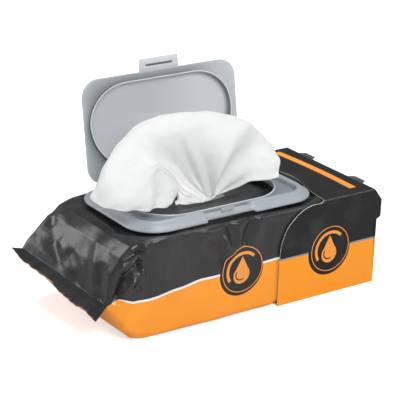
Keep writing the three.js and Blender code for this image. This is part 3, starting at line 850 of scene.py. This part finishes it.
# Lines from the neck out to the hem, right hand lower edge first, over the top and round the left lobe.
WIPE_LINES = [
    [(8, -8, 78), (19, -11, 81), (28, -14, 84), (34, -17, 88), (42, -19, 88), (50, -21, 88), (58, -22, 89)],
    [(8, -8, 78), (18, -12, 88), (27, -15, 94), (37, -15, 98), (46, -15, 101), (55, -15, 102), (64, -13, 100)],
    [(7, -8, 79), (14, -13, 94), (22, -15, 104), (33, -13, 109), (44, -10, 112), (55, -7, 110), (65, -2, 106)],
    [(6, -8, 80), (9, -15, 100), (15, -17, 113), (26, -14, 121), (37, -8, 125), (49, -2, 123), (60, 5, 115)],
    [(6, -8, 80), (2, -16, 104), (4, -19, 120), (11, -16, 131), (22, -9, 134), (34, -1, 133), (48, 8, 125)],
    [(5, -8, 80), (-2, -14, 105), (-7, -18, 124), (-5, -16, 136), (3, -8, 142), (14, 2, 140), (26, 12, 132)],
    [(4, -7, 80), (-5, -8, 103), (-18, -14, 124), (-22, -15, 139), (-19, -8, 145), (-9, 3, 144), (3, 14, 137)],
    [(4, -6, 79), (-6, -2, 98), (-23, -9, 120), (-35, -14, 137), (-38, -9, 145), (-32, 2, 145), (-20, 14, 138)],
    [(3, -6, 79), (-7, 2, 94), (-25, -5, 114), (-47, -16, 133), (-58, -14, 144), (-56, -2, 144), (-45, 11, 138)],
    [(3, -6, 78), (-7, 4, 90), (-27, -3, 109), (-57.6, -22, 130.7), (-73, -22, 139), (-80, -14, 136), (-74, 0, 127)],
    [(1, -7, 78), (-8, 5, 87), (-27, -1, 105), (-62.7, -27, 127), (-83, -30, 131), (-96, -26, 129), (-95, -14, 117)],
    [(-1, -8, 77.7), (-9, 6, 83.4), (-27, 0, 101), (-61.8, -30.2, 123.9),
     (-85, -36, 123), (-103, -37, 119.5), (-110, -26, 107)],
    [(-3, -9, 77.7), (-10, 6, 81.2), (-25, 1, 97.4), (-59.4, -30.5, 121.5),
     (-82, -40, 116.6), (-101, -43, 111), (-110, -36, 103.5)],
    [(-4, -10, 77.7), (-11, 6, 79.0), (-23, 2, 92.8), (-54.9, -29.2, 118.8),
     (-76, -42, 111.7), (-91, -46, 104.7), (-100, -42, 100)],
    [(-6, -11, 77.7), (-13, 4, 77.9), (-20, 3, 87.3), (-46.5, -24.4, 111.8),
     (-64, -38, 106.6), (-75, -43, 99.8), (-83, -42, 96)],
    [(-7, -11, 77.7), (-17, -1, 77.9), (-19, 2, 82.6), (-36.4, -18.8, 102.1),
     (-48, -30, 98.8), (-58, -36, 95), (-65, -38, 91.4)],
    [(-9, -12, 77.7), (-19, -6, 77.9), (-19, 0, 78.4), (-31.8, -16.5, 92.7),
     (-37, -22, 90.8), (-42, -27, 89), (-47, -29, 86.7)],
]
# where across the sheet, how it leans outwards, width, height towards the viewer, and where it starts and ends
WIPE_FOLDS = [
    (0.235, -0.03, 0.032, 3.6, 0.05, 0.95),
    (0.155, -0.04, 0.045, -3.0, 0.1, 0.9),
    (0.305, 0.0, 0.03, -2.2, 0.05, 0.8),
    (0.375, 0.02, 0.026, 1.8, 0.05, 0.6),
    (0.47, 0.03, 0.022, 2.0, 0.05, 0.5),
    (0.54, 0.02, 0.03, -1.6, 0.05, 0.5),
]
LOWER_FOLD = [
    [(-25.5, -8.0, 75.6), (-18.1, -8.8, 75.6), (-9.3, -9.0, 75.6), (0.1, -8.6, 75.6), (7.0, -7.6, 75.6)],
    [(-25.6, -7.6, 77.4), (-18.1, -8.2, 77.4), (-9.3, -8.2, 77.3), (0.1, -7.8, 77.3), (7.2, -7.2, 77.4)],
    [(-24.5, -4.6, 79.2), (-15.7, -4.8, 79.2), (-5.8, -4.2, 79.0), (2.5, -5.3, 78.6), (7.4, -6.8, 78.2)],
]
NECK_DEPTH, NECK_DRAWN = 1.6, 0.35
WIPE_STEPS, WIPE_THICK, WIPE_LOWEST = (190, 84), 0.45, 76.2
FOLD_POINT, FOLD_CRISP = 4, 0.85
LOBE_DENT = Vector((-56, -36, 98))
TOWARDS_VIEWER = Vector((-0.54, -0.76, 0.36))


def curve_point(points, at, crisp=None):
    """A point on the curve through a row of points.

    The place runs from 0 to the last point's number, and crisp says how kinked the curve is at a point.
    """
    i = min(int(at), len(points) - 2)
    t = at - i
    b, c = points[i], points[i + 1]
    a = points[i - 1] if i > 0 else b * 2 - c
    d = points[i + 2] if i + 2 < len(points) else c * 2 - b
    kink_b, kink_c = (crisp.get(i, 0.0), crisp.get(i + 1, 0.0)) if crisp else (0.0, 0.0)
    leave = ((c - a) * 0.5).lerp(c - b, kink_b)
    arrive = ((d - b) * 0.5).lerp(c - b, kink_c)
    return (b * (2 * t ** 3 - 3 * t ** 2 + 1) + leave * (t ** 3 - 2 * t ** 2 + t)
            + c * (3 * t ** 2 - 2 * t ** 3) + arrive * (t ** 3 - t ** 2))


def fold_height(s, t):
    """How far the sheet's main folds stand out at a place on it."""
    return sum(depth * smooth(start, start + 0.15, t) * (1 - smooth(end - 0.25, end, t))
               * math.exp(-((s - at - lean * t) / width) ** 2)
               for at, lean, width, depth, start, end in WIPE_FOLDS)


def ripple_sheet(bm, shares, lit):
    """Adds folds, pleats, ripples and a wavy hem to the sheet, and notes where light comes through most."""
    bm.normal_update()
    facing = math.copysign(1.0, sum(v.normal.dot(TOWARDS_VIEWER) for v, (s, t) in shares.items() if s < 0.35))
    moved = {}
    for vert, (s, t) in shares.items():
        gathered = smooth(0.0, 0.12, t) * (1 - smooth(0.2, 0.72, t))
        pleats = math.sin(s * 61 + 1.4 * math.sin(s * 17)) * gathered
        folds = math.sin(s * 23 + 0.8) * 1.1 * smooth(0.1, 0.4, t) * (1 - smooth(0.55, 1.0, t))
        dent = (vert.co - LOBE_DENT) * 0.085
        ripple = -4.6 * facing * math.exp(-dent.length_squared) if s > 0.6 else 0.0
        ripple += noise.noise(vert.co * 0.05) * 1.6 * smooth(0.3, 0.9, t) + noise.noise(vert.co * 0.16) * 0.45
        hem = math.sin(s * 88) * 0.7 * smooth(0.85, 1.0, t)
        lift = fold_height(s, t) * facing + pleats + folds + ripple * smooth(0.05, 0.3, t) + hem
        moved[vert] = vert.normal * lift
        vert[lit] = math.exp(-((s - 0.63) / 0.16) ** 2 - ((t - 0.37) / 0.17) ** 2)
    for vert, shift in moved.items():
        vert.co += shift
        vert.co.z = max(vert.co.z, WIPE_LOWEST)


def wipe_piece():
    rows = [[Vector(p) for p in line] for line in WIPE_LINES]
    for row in rows:
        row.insert(0, row[0] + Vector((-row[0].x * NECK_DRAWN, 0, -NECK_DEPTH)))
    bm = bmesh.new()
    lit = bm.verts.layers.float.new("lit")
    made = bmesh.ops.create_grid(bm, x_segments=WIPE_STEPS[0], y_segments=WIPE_STEPS[1], size=1.0)["verts"]
    shares = {v: ((v.co.x + 1) / 2, (v.co.y + 1) / 2) for v in made}
    columns = {}
    for vert, (s, t) in shares.items():
        key = round(t, 5)
        if key not in columns:
            # The left lobe folds over at the same point of each line.
            columns[key] = [curve_point(row, t * (len(row) - 1), {FOLD_POINT: FOLD_CRISP * smooth(8, 12, i)})
                            for i, row in enumerate(rows)]
        vert.co = curve_point(columns[key], s * (len(rows) - 1))
    for _ in range(2):
        bmesh.ops.smooth_vert(bm, verts=[v for v in bm.verts if not v.is_boundary], factor=0.5,
                              use_axis_x=True, use_axis_y=True, use_axis_z=True)
    ripple_sheet(bm, shares, lit)

    # The sheet's lowest fold, which lies in the mouth in front of the rest.
    low = [[Vector(p) for p in line] for line in LOWER_FOLD]
    strip = bmesh.ops.create_grid(bm, x_segments=48, y_segments=8, size=1.0)["verts"]
    for vert in strip:
        s, t = (vert.co.x + 1) / 2 * (len(low[0]) - 1), (vert.co.y + 1) / 2 * (len(low) - 1)
        vert.co = curve_point([curve_point(line, s) for line in low], t)
        vert.co.y += 0.5 * math.sin(s * 5.0) * t
    piece = finish_mesh(bm, "pulled_wipe_sheet", "pack", [NONWOVEN], ["pulled_wipe"])
    thick = piece.modifiers.new("sheet", "SOLIDIFY")
    thick.thickness, thick.offset = WIPE_THICK * MM, 0.0
    return piece


wipe = wipe_piece()
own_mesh(wipe)


STACK_SIZE, STACK_MIDDLE, STACK_ROUND = (196.0, 94.0, 64.0), (20.0, 0.0, 36.5), 6.0


def stack_piece():
    """The folded wipes left in the pack, seen only through the mouth."""
    bm = bmesh.new()
    made = bmesh.ops.create_cube(bm, size=1.0)["verts"]
    bmesh.ops.scale(bm, vec=STACK_SIZE, verts=made)
    bmesh.ops.translate(bm, vec=STACK_MIDDLE, verts=made)
    bmesh.ops.bevel(bm, geom=bm.edges[:], offset=STACK_ROUND, segments=4, profile=0.5, affect="EDGES", material=-1)
    finish_mesh(bm, "folded_wipes", "pack", [NONWOVEN], ["wipe_stack"])


stack_piece()


# ---- Floor and light ----

FLOOR_RADIUS, FLOOR_DROP, FLOOR_GLOW = 4.0, 0.0002, 0.6
WORLD_DIM, WORLD_BRIGHT = 0.28, 1.0
LAMP_TARGET = Vector((0, 0, 0.06))
# name, place, size and power
LAMPS = [
    ("key", (-0.4, -1.2, 1.2), 0.6, 18),
    ("top", (0.3, 0.2, 1.5), 0.8, 8),
    ("fill", (1.1, -1.0, 0.7), 0.8, 4),
    ("rim", (-0.95, 1.1, 0.85), 0.9, 10),
]


def lay_floor():
    """A pale floor that the camera sees as white where no shadow falls."""
    bm = bmesh.new()
    bmesh.ops.create_circle(bm, cap_ends=True, segments=64, radius=FLOOR_RADIUS)
    mesh = bpy.data.meshes.new("floor")
    bm.to_mesh(mesh)
    bm.free()
    floor = bpy.data.objects.new("floor", mesh)
    floor.location.z = -FLOOR_DROP
    bpy.context.collection.objects.link(floor)
    f = Finish("pale_floor", Base_Color=(0.68, 0.68, 0.68, 1), Roughness=0.9, Specular_IOR_Level=0.1,
               Emission_Strength=FLOOR_GLOW)
    seen = f.node("ShaderNodeLightPath", output="Is Camera Ray")
    f.feed("Emission Color", f.mix(seen, (0, 0, 0, 1), (1, 1, 1, 1)))
    mesh.materials.append(f.material)


def light_world():
    """White where the camera sees it, and a dim, slightly cool light for all else."""
    world = bpy.data.worlds.new("studio")
    bpy.context.scene.world = world
    world.use_nodes = True
    world.node_tree.nodes.clear()
    w = Graph(world.node_tree)
    through = w.node("ShaderNodeLightPath", output="Is Transmission Ray")
    seen = w.node("ShaderNodeLightPath", output="Is Camera Ray").step("ADD", through, clamp=True)
    dim = w.node("ShaderNodeBackground", None, {"Color": (0.95, 0.97, 1.0, 1), "Strength": WORLD_DIM})
    bright = w.node("ShaderNodeBackground", None, {"Color": (1, 1, 1, 1), "Strength": WORLD_BRIGHT})
    both = w.node("ShaderNodeMixShader", None, {0: seen, 1: dim, 2: bright})
    w.node("ShaderNodeOutputWorld", None, {0: both})


def hang_lamps():
    for name, place, size, power in LAMPS:
        data = bpy.data.lights.new(name, "AREA")
        data.shape, data.size, data.energy = "DISK", size, power
        made = bpy.data.objects.new(name, data)
        made.location = place
        made.rotation_euler = (LAMP_TARGET - Vector(place)).to_track_quat("-Z", "Y").to_euler()
        bpy.context.collection.objects.link(made)


def build_stage():
    lay_floor()
    light_world()
    hang_lamps()
    bpy.context.scene.view_settings.view_transform = "Standard"


build_stage()
